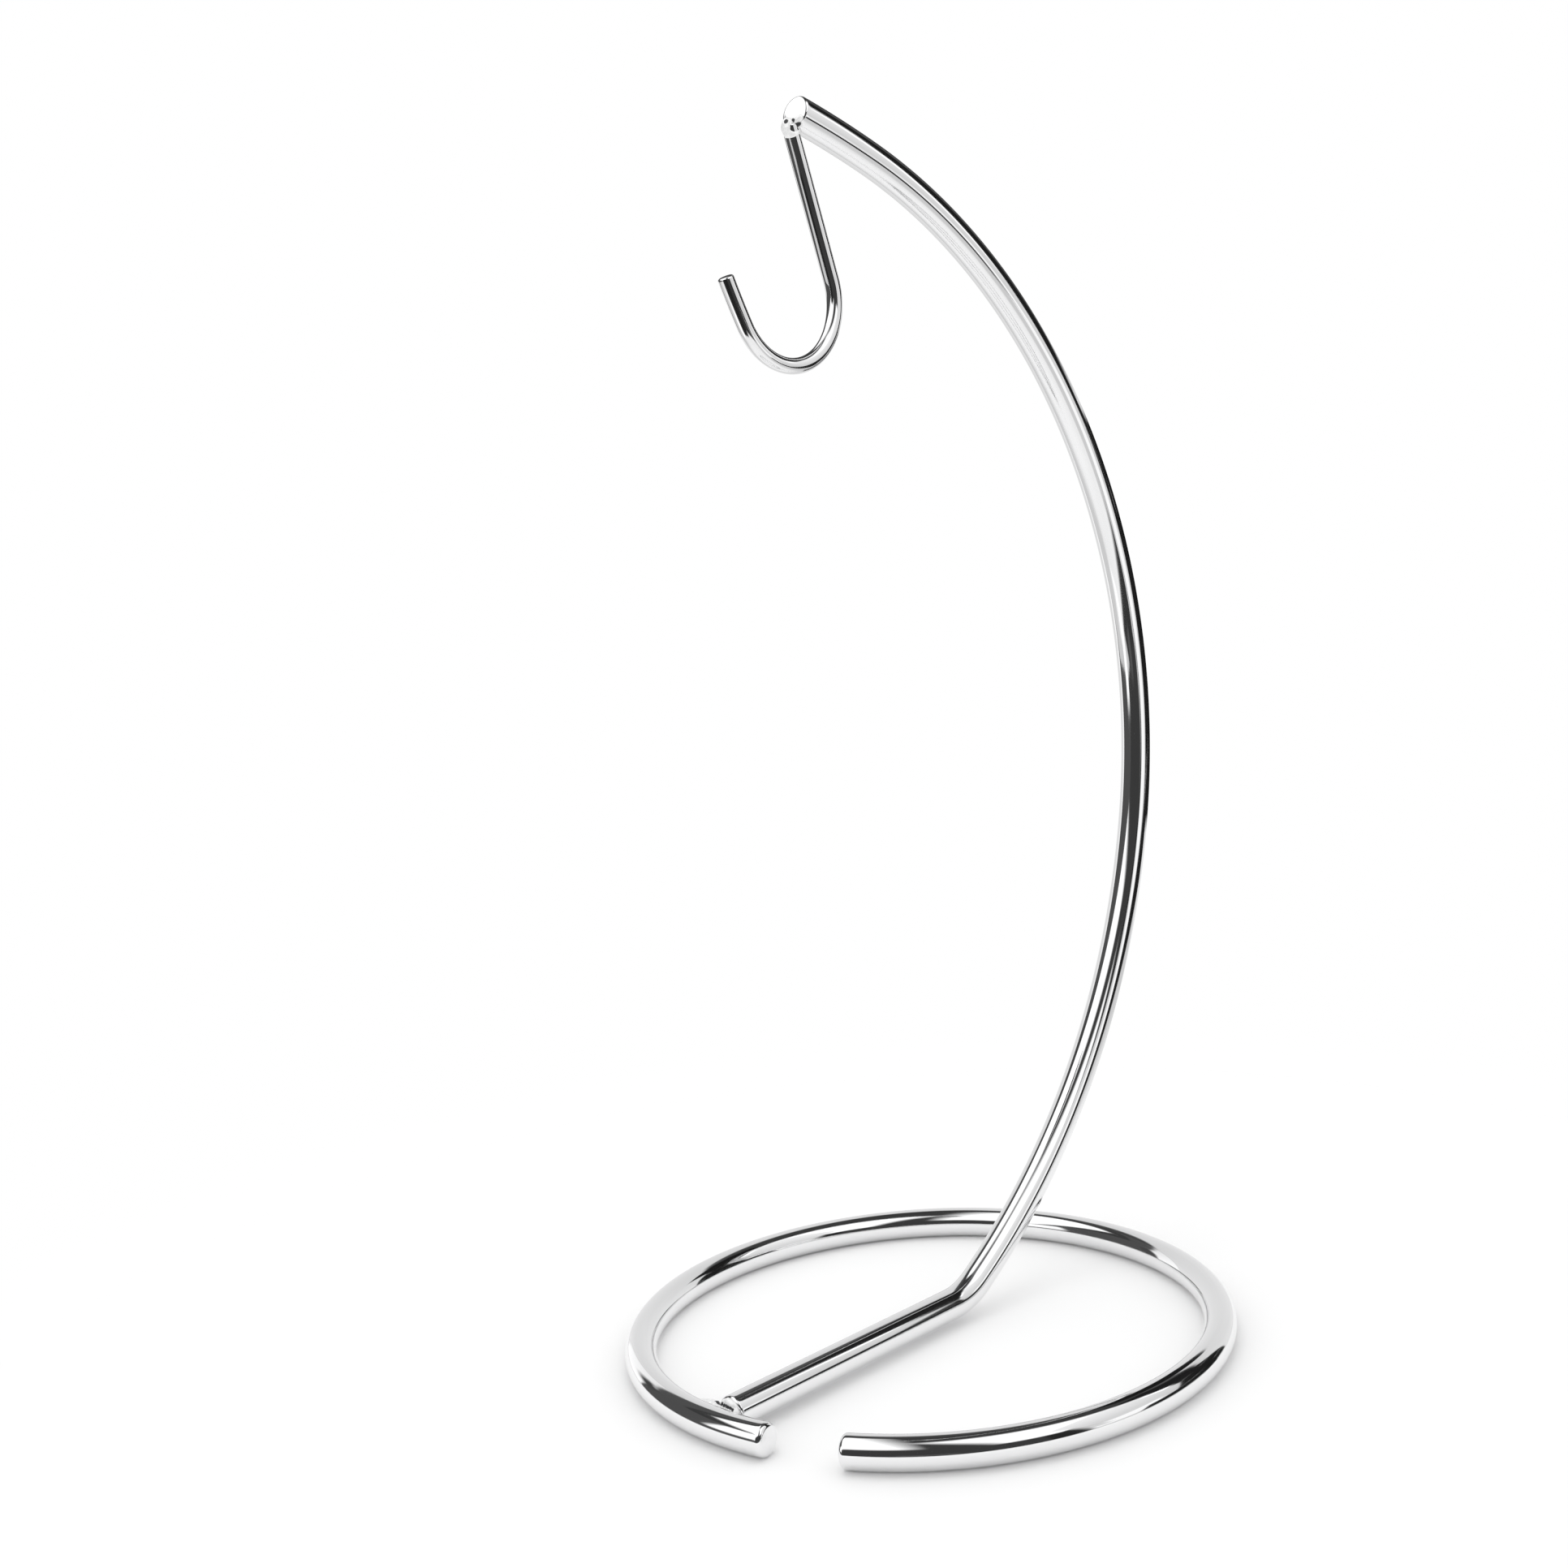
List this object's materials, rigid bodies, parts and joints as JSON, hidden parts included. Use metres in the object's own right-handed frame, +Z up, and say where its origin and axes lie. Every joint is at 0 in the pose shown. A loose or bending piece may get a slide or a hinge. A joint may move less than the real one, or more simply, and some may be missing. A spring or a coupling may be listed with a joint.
{
  "type": "banana hanger",
  "caption": "Countertop fruit hanger: an open ring of bent rod lies on the table, and a crescent stem rises from its inner side to carry a small wire J hook.",
  "frame": {"origin": "centre of the base ring, at table level", "axes": "+Z up. The stem and the hook lie in the XZ plane: the stem's foot is on the -X side of the ring, its bow goes out over the +X side, and the hook opens towards -X"},
  "size_m": [0.1863, 0.154, 0.3052],
  "materials": {
    "plated_rod": "mirror polished plating",
    "plated_wire": "mirror polished plating",
    "plated_weld": "plated weld bead, slightly rough"
  },
  "bodies": {
    "root": {"base_ring": "plated_rod", "stem": "plated_rod", "hook": "plated_wire", "foot_weld": "plated_weld", "hook_weld": "plated_weld"}
  },
  "joints": []
}
